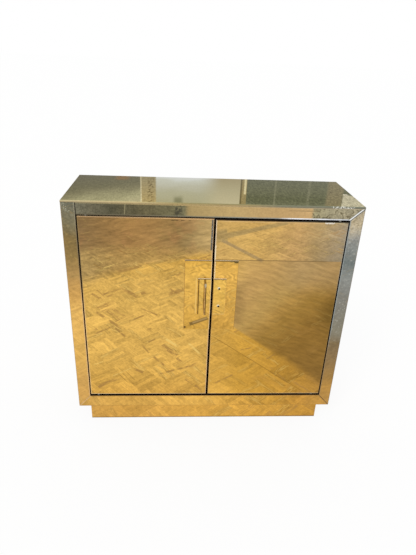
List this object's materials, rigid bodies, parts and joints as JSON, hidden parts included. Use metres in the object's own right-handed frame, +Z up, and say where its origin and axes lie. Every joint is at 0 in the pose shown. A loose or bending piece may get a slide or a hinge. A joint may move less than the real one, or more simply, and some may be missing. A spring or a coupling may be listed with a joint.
{
  "type": "chiffonier",
  "caption": "Low two-door cupboard clad in gold tinted mirror, with a recessed plinth, stepped mirror plates where the doors meet and a blade pull.",
  "frame": {"origin": "on the floor, at the middle of the footprint, pull included", "axes": "+X to the right seen from the front, +Y from front to back, +Z up"},
  "size_m": [0.914, 0.337, 0.845],
  "materials": {
    "top_mirror": "mottled antiqued mirror, polished edge",
    "frame_mirror": "gold tinted mirror strip, polished edge",
    "side_mirror": "gold tinted mirror, polished edge",
    "door_mirror": "gold tinted mirror, polished edge",
    "dark_board": "dark stained board",
    "carcass_board": "dark lacquered board",
    "back_board": "hardboard",
    "raw_wood": "unfinished pine and beech",
    "aged_brass": "aged brass",
    "catch_plastic": "brown moulded plastic",
    "magnet": "ferrite",
    "steel": "zinc plated steel"
  },
  "bodies": {
    "carcass": {"back_panel": "back_board", "back_panel_screws": "steel", "carcass_dowels": "raw_wood", "carcass_panel_bottom": "carcass_board", "carcass_panel_top": "carcass_board", "carcass_side_left": "carcass_board", "carcass_side_right": "carcass_board", "catch_block": "dark_board", "catch_housing_left": "catch_plastic", "catch_housing_right": "catch_plastic", "catch_magnet_left": "magnet", "catch_magnet_right": "magnet", "catch_screws": "steel", "face_frame_rail_bottom": "dark_board", "face_frame_rail_top": "dark_board", "face_frame_stile_left": "dark_board", "face_frame_stile_right": "dark_board", "hinge_left_lower_frame_leaf": "steel", "hinge_left_upper_frame_leaf": "steel", "hinge_right_lower_frame_leaf": "steel", "hinge_right_upper_frame_leaf": "steel", "hinge_screws_frame": "steel", "hinge_washers": "steel", "mirror_rail_bottom": "frame_mirror", "mirror_rail_top": "frame_mirror", "mirror_side_left": "side_mirror", "mirror_side_right": "side_mirror", "mirror_stile_left": "frame_mirror", "mirror_stile_right": "frame_mirror", "mirror_top": "top_mirror", "plinth_board_back": "raw_wood", "plinth_board_front": "raw_wood", "plinth_board_left": "raw_wood", "plinth_board_right": "raw_wood", "plinth_glue_blocks": "raw_wood", "plinth_mirror_front": "side_mirror", "plinth_mirror_left": "side_mirror", "plinth_mirror_right": "side_mirror", "plinth_screws": "steel", "shelf": "carcass_board", "shelf_pins": "steel"},
    "door_left": {"door_core_left": "dark_board", "door_mirror_left": "door_mirror", "door_plate_inner_left": "door_mirror", "door_plate_outer_left": "door_mirror", "hinge_left_lower_door_leaf": "steel", "hinge_left_upper_door_leaf": "steel", "hinge_screws_door_left": "steel", "pull_blade_left": "aged_brass", "pull_screws_left": "steel", "strike_plate_left": "steel"},
    "door_right": {"door_core_right": "dark_board", "door_mirror_right": "door_mirror", "door_plate_inner_right": "door_mirror", "door_plate_outer_right": "door_mirror", "hinge_right_lower_door_leaf": "steel", "hinge_right_upper_door_leaf": "steel", "hinge_screws_door_right": "steel", "strike_plate_right": "steel"}
  },
  "joints": [
    {"name": "door_left_hinge", "type": "hinge", "parent": "carcass", "child": "door_left", "pos_m": [-0.387, -0.125, 0.464], "axis": [0, 0, -1], "range_deg": [0, 110]},
    {"name": "door_right_hinge", "type": "hinge", "parent": "carcass", "child": "door_right", "pos_m": [0.387, -0.125, 0.464], "axis": [0, 0, 1], "range_deg": [0, 110]}
  ]
}
